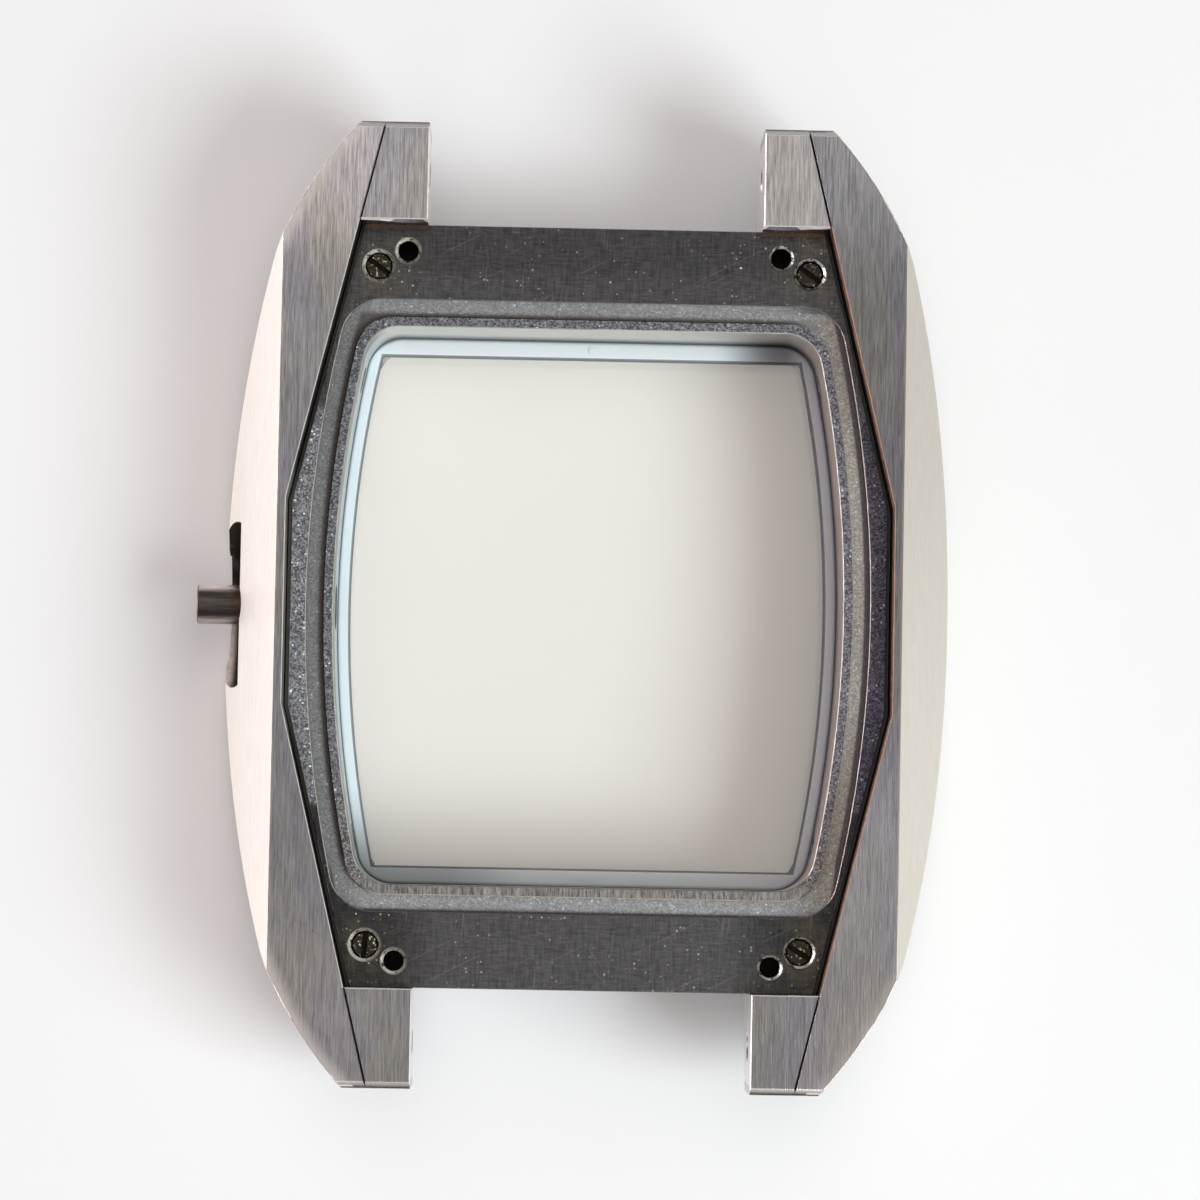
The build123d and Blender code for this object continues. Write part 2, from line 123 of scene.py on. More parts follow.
# The joint's wall in painted shade, near black and darker deeper in, then its edge line: a pale painted
# highlight on the left, brown on the right
shut_wall_tones = ((0.008, 0.007, 0.006, 1), (0.06, 0.055, 0.05, 1))
joint_line_tones = ((0.62, 0.61, 0.56, 1), (0.42, 0.21, 0.11, 1))
# Crown recess: pale low down as painted light, dark at the top and in its depth as painted shade
recess_lit_and_shaded_tones = ((0.98, 0.88, 0.78, 1), (0.055, 0.044, 0.036, 1))
recess_depth_shade_tone = (0.03, 0.025, 0.022, 1)
ledge_tones = ((0.047, 0.0475, 0.0505, 1), (0.107, 0.109, 0.115, 1))
scratch_tone = (0.4, 0.4, 0.4, 1)
stain_tone = (0.12, 0.1, 0.065, 1)
step_foot_tone = (0.2, 0.125, 0.075, 1)
dust_tone = (0.72, 0.71, 0.66, 1)
# Sparks: painted glints on the blasted grains
glint_tones = ((0.35, 0.5, 0.75, 1), (0.95, 0.97, 1.0, 1))
wall_pale_tones = ((0.65, 0.64, 0.61, 1), (0.78, 0.77, 0.74, 1))
wall_brown_tones = ((0.6, 0.46, 0.41, 1), (0.86, 0.68, 0.62, 1))
# Left wall: a painted reflection of the ring low down, dark above; then the painted shade at the wall's foot
wall_left_tones = ((0.53, 0.595, 0.6, 1), (0.16, 0.16, 0.12, 1))
wall_foot_shade_tone = (0.06, 0.058, 0.04, 1)
lug_tint = (1.0, 1.0, 0.985)
lug_side_tones = ((0.9, 0.87, 0.85, 1), (0.42, 0.38, 0.36, 1))
# Holes painted black as shade, with the joints black; the gap's floor painted dark as shade, lighter grey at
# the left middle to lift that shade
hole_black = (0.006, 0.005, 0.005, 1)
gap_floor_tones = ((0.05, 0.045, 0.04, 1), (0.25, 0.24, 0.23, 1))
step_tone = (0.14, 0.09, 0.06, 1)
rim_tones = ((0.09, 0.09, 0.1, 1), (0.36, 0.36, 0.385, 1))
# Knee tints: the right one goes with its painted shade, the left one with its painted light
right_knee_tint = (0.97, 0.94, 1.1)
left_knee_tint = (1.0, 1.0, 0.97)
low_rim_tint = (1.1, 1.03, 0.95)
rim_mark_tones = ((0.17, 0.155, 0.145, 1), (0.46, 0.435, 0.41, 1))
channel_tones = ((0.34, 0.34, 0.345, 1), (0.56, 0.555, 0.56, 1))
# Channel: olive on its lighter right side, and the tones of its painted shadow
channel_olive = (1.01, 0.99, 0.91)
channel_shadow_tones = ((0.13, 0.105, 0.1, 1), (0.085, 0.075, 0.1, 1))
# Edge lines: pale painted highlights and dark painted shade lines; the shut edge is a painted shade line
# beside the joint
in_line_tone = (0.85, 0.84, 0.8)
rim_line_tones = ((0.16, 0.14, 0.13, 1), (0.62, 0.52, 0.43, 1))
channel_line_tones = ((0.8, 0.79, 0.7, 1), (0.75, 0.7, 0.66, 1))
mouth_tones = ((0.8, 0.9, 0.97, 1), (1.0, 0.93, 0.8, 1))
mouth_dirt = (0.1, 0.075, 0.05, 1)
lug_line_tone = (0.85, 0.84, 0.82, 1)
ledge_line_tones = ((0.55, 0.52, 0.4, 1), (0.12, 0.1, 0.09, 1))
shut_edge_tone = (0.04, 0.034, 0.03, 1)
tube_tones = ((0.36, 0.32, 0.3, 1), (0.8, 0.71, 0.67, 1))
tube_root_tone = (0.07, 0.04, 0.03, 1)
tube_end_tone = (0.14, 0.13, 0.12, 1)
screw_tones = ((0.02, 0.016, 0.011, 1), (0.055, 0.045, 0.032, 1))
screw_wear_tone = (0.75, 0.7, 0.6, 1)
# Slot painted black as shade
slot_tone = (0.012, 0.01, 0.008, 1)
shank_tones = ((0.26, 0.255, 0.25, 1), (0.46, 0.45, 0.44, 1))
pin_tones = ((0.5, 0.5, 0.5, 1), (0.66, 0.66, 0.66, 1))
rubber_tones = ((0.012, 0.012, 0.012, 1), (0.035, 0.035, 0.036, 1))
# Ring: bluer on the right, the tint of its shaded side
ring_tones = ((0.76, 0.85, 0.87, 1), (0.84, 0.84, 0.95, 1))
ring_cloud_tone = (0.84, 0.9, 0.95, 1)
glass_tone = (0.995, 0.99, 0.955, 1)
glass_shadow_tone = (1.0, 0.99, 0.97, 1)

# How much lighter or darker than its colour a finish is at some places: all but rim_shade are painted light
# and shade
# Lugs: painted light and shade, the upper lugs lighter than the lower, left and right apart
high_lug_shades = (1.41, 1.6)
low_lug_shades = (1.02, 0.94)
rim_shade = 1.12
left_knee_shade = 1.42
right_knee_shade = 0.88
channel_end_shades = (0.98, 0.88)
channel_left_shade = 0.72
channel_right_shade = 1.35
tube_crest_shade = 0.13
ring_line_shade = 0.35

# Relief in metres, and lines and grains per millimetre
brush_relief = 0.004 * mm
body_relief = 0.01 * mm
tube_relief = 0.006 * mm
screw_relief = 0.01 * mm
brush_lines_per_mm = 11.0
side_lines_per_mm = 6.5
blast_grains_per_mm = 12.0
blast_sparks_per_mm = 6.5
rim_spark_share = 0.34
channel_spark_share = 0.24

# Bounds between which a share rises or falls: how far up a surface looks, and places in millimetres
flat_up = (0.93, 0.97)
edge_up_start = (0.5, 0.58)
edge_up_end = (0.84, 0.92)
channel_side_x = (11, 13.5)
channel_far_x = (9, 13)
channel_low_y = (13, 15)
ring_side_x = (10.5, 12)

# Scratches on the ledge: angle in degrees, lines per millimetre and how rare they are
scratch_kinds = ((63, 9, 0.7), (-38, 8, 0.73), (4, 7, 0.7))


def new_node(tree, kind, inputs=None, **settings):
    """Node of this kind, with its settings made and its inputs set or joined."""
    node = tree.nodes.new(kind)
    for name, value in settings.items():
        setattr(node, name, value)
    for name, value in (inputs or {}).items():
        if isinstance(value, bpy.types.NodeSocket):
            tree.links.new(value, node.inputs[name])
        else:
            node.inputs[name].default_value = value
    return node


def calc(tree, operation, *values):
    """Result of one sum on sockets or numbers."""
    return new_node(tree, "ShaderNodeMath", dict(enumerate(values)), operation=operation).outputs[0]


def vector_calc(tree, operation, inputs):
    """Result of one sum on vectors or colours."""
    return new_node(tree, "ShaderNodeVectorMath", inputs, operation=operation).outputs[0]


def folded(tree, operation, values):
    """One sum carried on over all of these values."""
    result = values[0]
    for value in values[1:]:
        result = calc(tree, operation, result, value)
    return result


def product(tree, *values):
    """All of these factors multiplied together."""
    return folded(tree, "MULTIPLY", values)


def total(tree, *values):
    """All of these values added up."""
    return folded(tree, "ADD", values)


def greatest(tree, *values):
    """The greatest of these values."""
    return folded(tree, "MAXIMUM", values)


def inverse(tree, value):
    """One less the value."""
    return calc(tree, "SUBTRACT", 1, value)


def negative(tree, value):
    """The value with its sign turned."""
    return product(tree, value, -1)


def above(tree, value, limit):
    """1 where the value is greater than the limit."""
    return calc(tree, "GREATER_THAN", value, limit)


def below(tree, value, limit):
    """1 where the value is less than the limit."""
    return calc(tree, "LESS_THAN", value, limit)


def near(tree, value, middle, play):
    """1 where the value lies within this play of a middle value."""
    return below(tree, calc(tree, "ABSOLUTE", calc(tree, "SUBTRACT", value, middle)), play)


def rise(tree, value, low, high):
    """Smooth step from 0 to 1 between two values."""
    inputs = {"Value": value, "From Min": low, "From Max": high}
    return new_node(tree, "ShaderNodeMapRange", inputs, interpolation_type="SMOOTHSTEP").outputs[0]


def fall(tree, value, low, high):
    """Smooth step from 1 to 0 between two values."""
    return inverse(tree, rise(tree, value, low, high))


def remap(tree, value, low, high):
    """A value from 0 to 1 stretched to another range."""
    return new_node(tree, "ShaderNodeMapRange", {"Value": value, "To Min": low, "To Max": high}).outputs[0]


def contrast(tree, value, gain):
    """A value from 0 to 1 spread about its middle."""
    offset = product(tree, calc(tree, "SUBTRACT", value, 0.5), gain)
    node = new_node(tree, "ShaderNodeMath", {0: offset, 1: 0.5}, operation="ADD", use_clamp=True)
    return node.outputs[0]


def distance_from(tree, across, along):
    """Distance from a point, given by its offsets."""
    return calc(tree, "SQRT", total(tree, calc(tree, "POWER", across, 2), calc(tree, "POWER", along, 2)))


def blend(tree, share, first, second):
    """Colour between two colours."""
    return new_node(tree, "ShaderNodeMix", {0: share, 6: first, 7: second}, data_type="RGBA").outputs[2]


def blend_value(tree, share, first, second):
    """Number between two numbers."""
    return new_node(tree, "ShaderNodeMix", {0: share, 2: first, 3: second}).outputs[0]


def shade(tree, colour, factor):
    """Colour made lighter or darker by a factor."""
    return vector_calc(tree, "SCALE", {0: colour, "Scale": factor})


def tinted(tree, colour, tint):
    """Colour multiplied by a tint, three numbers or a socket."""
    return vector_calc(tree, "MULTIPLY", {0: colour, 1: tint})


def split(tree, vector):
    """The three parts of a vector."""
    node = new_node(tree, "ShaderNodeSeparateXYZ", {0: vector})
    return node.outputs[0], node.outputs[1], node.outputs[2]


def stretched(tree, place, x, y, z):
    """Place scaled along each axis."""
    return vector_calc(tree, "MULTIPLY", {0: place, 1: (x, y, z)})


def noise(tree, place, scale, detail=2.0, rough=0.5, output=0):
    """Soft noise at a number of cells per unit: a value from 0 to 1, or three of them as output 1."""
    inputs = {"Vector": place, "Scale": scale, "Detail": detail, "Roughness": rough}
    return new_node(tree, "ShaderNodeTexNoise", inputs).outputs[output]


def cells(tree, place, per_unit):
    """Cells strewn at random: the distance from each one's middle, and three numbers of its own."""
    node = new_node(tree, "ShaderNodeTexVoronoi", {"Vector": place, "Scale": per_unit})
    return node.outputs["Distance"], split(tree, node.outputs["Color"])


def specks(tree, place, per_unit, share, radius):
    """Small round marks in a share of the cells of a grid, each with a size and a tone of its own."""
    distance, (lot, size, tone) = cells(tree, place, per_unit)
    return product(tree, below(tree, lot, share), below(tree, distance, product(tree, size, radius))), tone


def bumped(tree, height, distance):
    """Normal of a surface with this relief, its height in metres."""
    inputs = {"Height": height, "Distance": distance, "Strength": 1.0}
    return new_node(tree, "ShaderNodeBump", inputs).outputs[0]


def place_in_mm(tree):
    """Place on the piece in millimetres."""
    source = new_node(tree, "ShaderNodeTexCoord").outputs["Object"]
    return vector_calc(tree, "SCALE", {0: source, "Scale": per_metre})


def facing(tree):
    """Direction in which the surface looks, in its three parts."""
    return split(tree, new_node(tree, "ShaderNodeNewGeometry").outputs["Normal"])


def where(tree):
    """Place on the piece in millimetres, whole and in parts."""
    place = place_in_mm(tree)
    x, y, z = split(tree, place)
    return SimpleNamespace(
        place=place, x=x, y=y, z=z, down=negative(tree, y),
        far_x=calc(tree, "ABSOLUTE", x), far_y=calc(tree, "ABSOLUTE", y))


def here(tree):
    """The same, with the side of the case, where the surface looks, and if it is flat or a broken edge."""
    at = where(tree)
    at.nx, at.ny, at.up = facing(tree)
    at.right = above(tree, at.x, 0.0)
    at.flat = rise(tree, at.up, *flat_up)
    at.edge = product(tree, rise(tree, at.up, *edge_up_start), fall(tree, at.up, *edge_up_end))
    return at


def outward_share(tree, x, y, nx, ny):
    """1 where the surface looks away from the middle of the case."""
    return above(tree, total(tree, product(tree, x, nx), product(tree, y, ny)), 0.0)


def surface(name, build):
    """Material whose one shader gets what the build function makes."""
    material = bpy.data.materials.new(name)
    material.use_nodes = True
    tree = material.node_tree
    tree.nodes.clear()
    shader = new_node(tree, "ShaderNodeBsdfPrincipled", build(tree))
    new_node(tree, "ShaderNodeOutputMaterial", {"Surface": shader.outputs[0]})
    return material


def scratches(tree, place, turn, per_mm, limit):
    """Fine straight scratches that run at this angle."""
    inputs = {"Vector": place, "Angle": turn}
    turned = new_node(tree, "ShaderNodeVectorRotate", inputs, rotation_type="Z_AXIS").outputs[0]
    lines = noise(tree, stretched(tree, turned, per_mm, 0.16, 1), 1, 1)
    return rise(tree, lines, limit, limit + 0.05)


def brushed_tone(tree, place, across):
    """Streaks of lengthwise brushing, from 0 to 1, with long and short lines in one another."""
    long_lines = noise(tree, stretched(tree, place, across, 0.12, across), 1, 1, 0.6)
    short_lines = noise(tree, stretched(tree, place, 1.5 * across, 0.8, 1.5 * across), 1, 2, 0.6)
    return total(tree, product(tree, long_lines, 0.25), product(tree, short_lines, 0.75))


def brushed(tree, place, tone):
    """Colour of lengthwise brushed steel with nicks and short cracks, and its streaks from 0 to 1."""
    lines = contrast(tree, brushed_tone(tree, place, brush_lines_per_mm), 3.3)
    colour = blend(tree, lines, *brushed_tones)
    cloud = noise(tree, stretched(tree, place, 0.3, 0.14, 0.3), 1, 3)
    colour = blend(tree, rise(tree, cloud, 0.4, 0.62), colour, tinted(tree, colour, brushed_blue))
    patch = noise(tree, place, 0.25, 2)
    colour = shade(tree, colour, product(tree, tone, remap(tree, patch, 0.86, 1.14)))
    nicks = specks(tree, stretched(tree, place, 1, 0.4, 1), 1.6, 0.12, 0.06)[0]
    wavy = vector_calc(tree, "ADD", {0: place, 1: noise(tree, place, 1.2, 3, output=1)})
    cracks = specks(tree, stretched(tree, wavy, 0.35, 5, 1), 1.0, 0.02, 0.2)[0]
    marks = greatest(tree, product(tree, nicks, 0.6), product(tree, cracks, 0.5))
    return blend(tree, marks, colour, brushed_mark), lines


def with_lug_end(tree, at, colour):
    """The rounded end of a lug: a painted highlight band above a painted shade band, and a brownish foot."""
    end = above(tree, at.far_y, half_length - lug_end_round - level_play)
    # Painted highlight band on the rounding, painted shade band below it
    band = product(tree, end, rise(tree, at.up, 0.72, 0.9), fall(tree, at.up, 0.975, 0.998))
    dark = product(tree, end, rise(tree, at.up, 0.35, 0.42), fall(tree, at.up, 0.6, 0.7))
    foot = product(tree, end, fall(tree, at.up, 0.3, 0.38))
    colour = blend(tree, band, colour, lug_end_highlight)
    colour = blend(tree, foot, colour, lug_end_foot)
    return blend(tree, dark, colour, lug_end_shade)


def cheek_depth(tree, at):
    """Distance in from the slanted outer edge of a lug."""
    across = calc(tree, "SUBTRACT", at.far_x, cheek_centre[0])
    along = calc(tree, "SUBTRACT", at.far_y, cheek_centre[1])
    return calc(tree, "SUBTRACT", cheek_radius, distance_from(tree, across, along))


def flank_light_and_shade(tree, at):
    """Painted light and shade on the brushed back of each flank: how light it is along its length, left and
    right apart.
    """
    tip = rise(tree, at.y, 16, 24)
    left = total(tree, remap(tree, rise(tree, at.y, 4, 15), 0.93, 1.1), remap(tree, tip, 0, 0.8))
    right = total(tree, remap(tree, rise(tree, at.y, -11, -2), 1.08, 0.7), remap(tree, tip, 0, 0.38))
    low_end = remap(tree, rise(tree, at.down, 14, 21), 1.0, blend_value(tree, at.right, 1.14, 0.9))
    return product(tree, low_end, blend_value(tree, at.right, left, right))


def flank_back(tree, at):
    """Brushed back of a flank with a softer outer edge; its streaks and the share of that edge."""
    colour, lines = brushed(tree, at.place, flank_light_and_shade(tree, at))
    high = above(tree, at.y, 0.0)
    end_tint = blend(tree, product(tree, at.right, high), *flank_end_tints)
    colour = blend(tree, rise(tree, at.far_y, cheek_start_y, 22), colour, tinted(tree, colour, end_tint))

    in_cheek = cheek_depth(tree, at)
    soft_edge = product(
        tree, at.flat, fall(tree, in_cheek, 0.0, 0.85), rise(tree, at.far_y, cheek_start_y, 18.5),
        inverse(tree, product(tree, at.right, remap(tree, high, 0.45, 0.88))))
    side_edge = product(tree, at.flat, rise(tree, at.far_x, side_edge_x - 0.16, side_edge_x))
    soft_tone = blend(tree, at.right, *soft_edge_tones)
    soft_tone = shade(tree, soft_tone, remap(tree, noise(tree, at.place, 1.5, 2), 0.8, 1.2))
    soft = greatest(tree, product(tree, soft_edge, 0.7), product(tree, side_edge, 0.22))
    colour = blend(tree, soft, colour, soft_tone)
    brown_edge = product(
        tree, at.flat, at.right, rise(tree, at.far_x, side_edge_x - 0.14, side_edge_x),
        below(tree, at.far_y, cheek_start_y + 1), 0.55)
    return blend(tree, brown_edge, colour, brown_edge_tone), lines, soft_edge


def flank_side(tree, at):
    """Satin side of a flank, pale on the left as painted light and beige on the right as painted shade,
    darker towards the top.
    """
    fine = brushed_tone(tree, stretched(tree, at.place, 0.8, 1, 0.8), side_lines_per_mm)
    fine = contrast(tree, fine, 2.4)
    # Painted shade on the right side, darker towards the top; the left side is pale as painted light
    beige = blend(tree, fine, *shaded_right_side_tones)
    beige = shade(tree, beige, remap(tree, rise(tree, at.y, -12, 14), 1.02, 0.86))
    return blend(tree, at.right, blend(tree, fine, *lit_left_side_tones), beige)


def with_flank_rim(tree, at, outward, colour):
    """Edge between a flank's back and side: a painted highlight along the cheeks, and pinkish beside them on
    the right.
    """
    rim = product(tree, outward, at.edge)
    on_cheek = rise(tree, at.far_y, cheek_start_y, cheek_start_y + 2)
    colour = blend(tree, product(tree, rim, on_cheek), colour, blend(tree, at.right, *cheek_rim_highlight_tones))
    return blend(tree, product(tree, rim, at.right, inverse(tree, on_cheek), 0.6), colour, pink_rim_tone)


def with_joint_wall(tree, at, outward, colour):
    """Joint wall painted near black as shade and darker deeper in, grey at the left middle and rusty on the
    right where it is lit; its edge line, a pale painted highlight on the left and brown on the right; the
    shares of both.
    """
    inward = inverse(tree, outward)
    joint = product(tree, inward, below(tree, at.up, 0.5), above(tree, at.z, joint_foot_z))
    rust = rise(tree, noise(tree, at.place, 2.4, 4, 0.7), 0.35, 0.65)
    wall = blend(tree, at.right, left_wall_tone, blend(tree, rust, *rust_tones))
    wall_foot = total(tree, product(tree, at.right, 0.8), ledge_z)
    lit_wall = product(
        tree, joint, above(tree, at.z, wall_foot), greatest(tree, at.right, fall(tree, at.far_y, 6, 8)))
    # Painted shade: the joint's wall near black, darker deeper in
    shut_wall = blend(tree, rise(tree, at.z, ledge_z - 0.3, ledge_z), *shut_wall_tones)
    colour = blend(tree, joint, colour, shut_wall)
    colour = blend(tree, lit_wall, colour, wall)
    # Painted highlight along the joint's edge on the left, brown on the right; the noise called worn only
    # makes it uneven
    worn = remap(tree, noise(tree, at.place, 1.2, 3), 0.5, 1.2)
    line = product(tree, at.edge, inward, below(tree, at.far_y, end_face_y))
    colour = blend(tree, line, colour, shade(tree, blend(tree, at.right, *joint_line_tones), worn))
    return colour, lit_wall, line


def recess_colour(tree, at):
    """Colour of the crown's recess: dull, pale low down as painted light, dark at the top and darker still
    in its depth as painted shade, with uneven blotches.
    """
    depth = rise(tree, at.x, -recess_floor_x - recess_depth, level_play - recess_floor_x)
    # Painted light low down and painted shade at the top
    dull = blend(tree, rise(tree, at.y, -2, 2), *recess_lit_and_shaded_tones)
    dull = shade(tree, dull, remap(tree, noise(tree, at.place, 2.5, 4, 0.65), 0.5, 1.45))
    # Darker still in its depth: painted shade
    return blend(tree, rise(tree, depth, 0.1, 0.75), dull, recess_depth_shade_tone)


def flank_steel(tree):
    """Brushed back and satin side with painted light and shade, joint wall in painted shade with a painted
    edge line, and the crown's dull recess in painted light and shade.
    """
    at = here(tree)
    outward = outward_share(tree, at.x, 0.0, at.nx, at.ny)
    side = product(tree, outward, fall(tree, at.up, 0.7, 0.9))
    height = calc(tree, "SUBTRACT", at.z, tube_z)
    in_reach = below(tree, distance_from(tree, at.y, height), recess_radius + level_play / 2)
    recess = product(tree, below(tree, at.x, level_play / 2 - recess_floor_x), in_reach)

    colour, lines, soft_edge = flank_back(tree, at)
    colour = blend(tree, side, colour, flank_side(tree, at))
    colour = with_flank_rim(tree, at, outward, colour)
    colour, lit_wall, line = with_joint_wall(tree, at, outward, colour)
    colour = with_lug_end(tree, at, colour)
    colour = blend(tree, recess, colour, recess_colour(tree, at))
    rough = blend_value(tree, side, remap(tree, lines, *brushed_rough), 0.5)
    dull_share = greatest(
        tree, product(tree, side, inverse(tree, recess), 0.5), line, product(tree, soft_edge, 0.3),
        product(tree, lit_wall, 0.9))
    return {
        "Base Color": colour, "Metallic": inverse(tree, dull_share),
        "Roughness": blend_value(tree, recess, rough, 0.5), "Anisotropic": 0.4,
        "Tangent": new_node(tree, "ShaderNodeTangent", direction_type="RADIAL", axis="Y").outputs[0],
        "Normal": bumped(tree, lines, brush_relief),
    }


def side_margin(tree, at):
    """Distance out from the curved sides of the opening."""
    from_centre = distance_from(tree, total(tree, at.far_x, opening_side_centre), at.far_y)
    return calc(tree, "SUBTRACT", from_centre, opening_side_radius)


def opening_margin(tree, at):
    """Distance out from the opening's edge."""
    return greatest(tree, side_margin(tree, at), calc(tree, "SUBTRACT", at.far_y, opening_half_height))


def body_areas(tree, at):
    """Where the body's joints, holes, steps, levels and walls lie, each 1 there and 0 elsewhere."""
    upright = below(tree, calc(tree, "ABSOLUTE", at.up), 0.45)
    across = product(tree, at.x, at.nx)
    inward = inverse(tree, outward_share(tree, at.x, at.y, at.nx, at.ny))
    sunk = below(tree, at.z, ledge_z + level_play)
    middle = below(tree, at.far_y, opening_half_height + 1.5)
    within_end = below(tree, at.far_y, end_face_y + level_play / 2)
    holed = product(
        tree, below(tree, at.far_y, end_face_y - 0.1), above(tree, at.far_y, opening_half_height + 2))
    return SimpleNamespace(
        across=across, inward=inward, sunk=sunk, middle=middle, holed=holed,
        joint=product(tree, upright, above(tree, across, 5.0), above(tree, at.z, joint_foot_z)),
        gap_floor=product(tree, at.flat, near(tree, at.z, gap_floor_z, level_play), within_end),
        step=product(
            tree, upright, above(tree, at.far_y, end_face_y - level_play), inward,
            above(tree, at.z, ledge_z), below(tree, calc(tree, "ABSOLUTE", at.nx), 0.5)),
        hole=product(tree, holed, below(tree, at.z, mouth_foot_z)),
        lug_side=product(tree, upright, below(tree, across, -5.0), inverse(tree, within_end)),
        inside=product(tree, upright, inward, middle, sunk),
        ledge=product(tree, at.flat, near(tree, at.z, ledge_z, level_play), within_end),
        rim=product(tree, at.flat, near(tree, at.z, rim_z, level_play)),
        channel=product(tree, at.flat, near(tree, at.z, channel_z, level_play)))


def body_plain(tree, at, area):
    """Brushed lugs with painted light and shade, their sides, black joints, holes painted black as shade,
    the gap's floor painted dark as shade, and the steps; the streaks.
    """
    # Painted light and shade: the upper lugs lighter than the lower, left and right apart
    high_shade = blend_value(tree, at.right, *high_lug_shades)
    low_shade = blend_value(tree, at.right, *low_lug_shades)
    lug_shade = blend_value(tree, rise(tree, at.y, -5, 5), low_shade, high_shade)
    colour, lines = brushed(tree, at.place, lug_shade)
    colour = tinted(tree, colour, lug_tint)
    spots = rise(tree, noise(tree, at.place, 2.2, 4, 0.7), 0.6, 0.7)
    colour = blend(tree, area.lug_side, colour, blend(tree, spots, *lug_side_tones))
    # Holes painted black as shade; the joints black
    colour = blend(tree, greatest(tree, area.joint, area.hole), colour, hole_black)
    # Gap floor painted dark as shade, lighter grey at the left middle to lift that shade
    left_middle = product(tree, inverse(tree, at.right), fall(tree, at.far_y, 5, 8))
    colour = blend(tree, area.gap_floor, colour, blend(tree, left_middle, *gap_floor_tones))
    return blend(tree, area.step, colour, step_tone), lines


def wall_colour(tree, at):
    """Colour of the opening's wall: pale, brown on the right, a painted bluish reflection of the ring low on
    the left with dark above it, and painted shade at its foot.
    """
    cloud = noise(tree, at.place, 0.8, 3)
    pale = blend(tree, cloud, *wall_pale_tones)
    brown = blend(tree, cloud, *wall_brown_tones)
    colour = blend(tree, rise(tree, negative(tree, at.nx), 0.3, 0.9), pale, brown)
    # Painted shade at the wall's foot
    shaded_foot = blend(tree, fall(tree, at.z, 3.2, 5.6), colour, wall_foot_shade_tone)
    # Painted bluish reflection of the ring low on the left wall, dark above it
    bluish = blend(tree, rise(tree, at.z, 6.4, 7.4), *wall_left_tones)
    return blend(tree, rise(tree, at.nx, 0.3, 0.9), shaded_foot, bluish)


def ledge_colour(tree, at):
    """Colour of the dark machined ledge with tool lines, scratches and stains; its weave and its dust."""
    cross_lines = noise(tree, stretched(tree, at.place, 1.2, 8, 1), 1, 2, 0.6)
    up_lines = noise(tree, stretched(tree, at.place, 7, 0.9, 1), 1, 2, 0.65)
    weave = contrast(tree, product(tree, total(tree, cross_lines, up_lines), 0.5), 3.0)
    low_corner = product(tree, rise(tree, at.far_x, 7, 11), fall(tree, at.y, -2, 2))
    colour = blend(tree, weave, *ledge_tones)
    colour = shade(tree, colour, remap(tree, rise(tree, at.y, -15, 15), 1.25, 0.98))
    colour = shade(tree, colour, remap(tree, low_corner, 1.0, 0.45))
    colour = shade(tree, colour, remap(tree, rise(tree, at.y, 17.3, 18.6), 1.0, 0.8))
    marks = greatest(tree, *(
        scratches(tree, at.place, radians(turn), per_mm, limit) for turn, per_mm, limit in scratch_kinds))
    colour = blend(tree, product(tree, marks, 0.16), colour, scratch_tone)

    screw_x, screw_y = screw_place
    from_screw = distance_from(
        tree, calc(tree, "SUBTRACT", at.far_x, screw_x), calc(tree, "SUBTRACT", at.far_y, screw_y))
    around = fall(tree, from_screw, 0.9, 2.6)
    beside_step = product(
        tree, rise(tree, at.far_y, end_face_y - 1.1, end_face_y), rise(tree, at.far_x, 8.2, 9.2))
    patch = rise(tree, noise(tree, at.place, 1.1, 4, 0.65), 0.44, 0.62)
    stain = product(tree, greatest(tree, around, beside_step), patch, 0.45)
    foot = product(
        tree, rise(tree, at.far_y, end_face_y - 0.32, end_face_y - 0.12), rise(tree, at.far_x, 8.9, 9.2),
        above(tree, at.y, 0.0), 0.7)
    colour = blend(tree, stain, colour, stain_tone)
    colour = blend(tree, foot, colour, step_foot_tone)

    grains, grain_tone = specks(tree, at.place, 5.0, 0.3, 0.32)
    dusty = greatest(
        tree, rise(tree, noise(tree, at.place, 0.5, 3), 0.4, 0.62), product(tree, around, 0.8))
    crumbs = specks(tree, at.place, 1.4, 0.22, 0.09)[0]
    dust = greatest(tree, product(tree, grains, dusty, remap(tree, grain_tone, 0.15, 0.7)), crumbs)
    return blend(tree, dust, colour, dust_tone), weave, dust


def blasted(tree, place, tones, share):
    """Colour of bead-blasted steel made of fine even grains with painted glints; their relief; the share of
    glinting grains.
    """
    lot, _, tone = cells(tree, place, blast_grains_per_mm)[1]
    soft = noise(tree, place, 1.2, 3)
    grain = product(tree, calc(tree, "POWER", lot, 1.2), remap(tree, soft, 0.8, 1.2))
    # Painted glints: bright specks on a share of the grains
    sparks, spark_tone = specks(tree, place, blast_sparks_per_mm, share, 0.44)
    sparks = product(tree, sparks, rise(tree, soft, 0.25, 0.6), remap(tree, spark_tone, 0.4, 1.0))
    colour = blend(tree, sparks, blend(tree, grain, *tones), blend(tree, tone, *glint_tones))
    return colour, grain, sparks


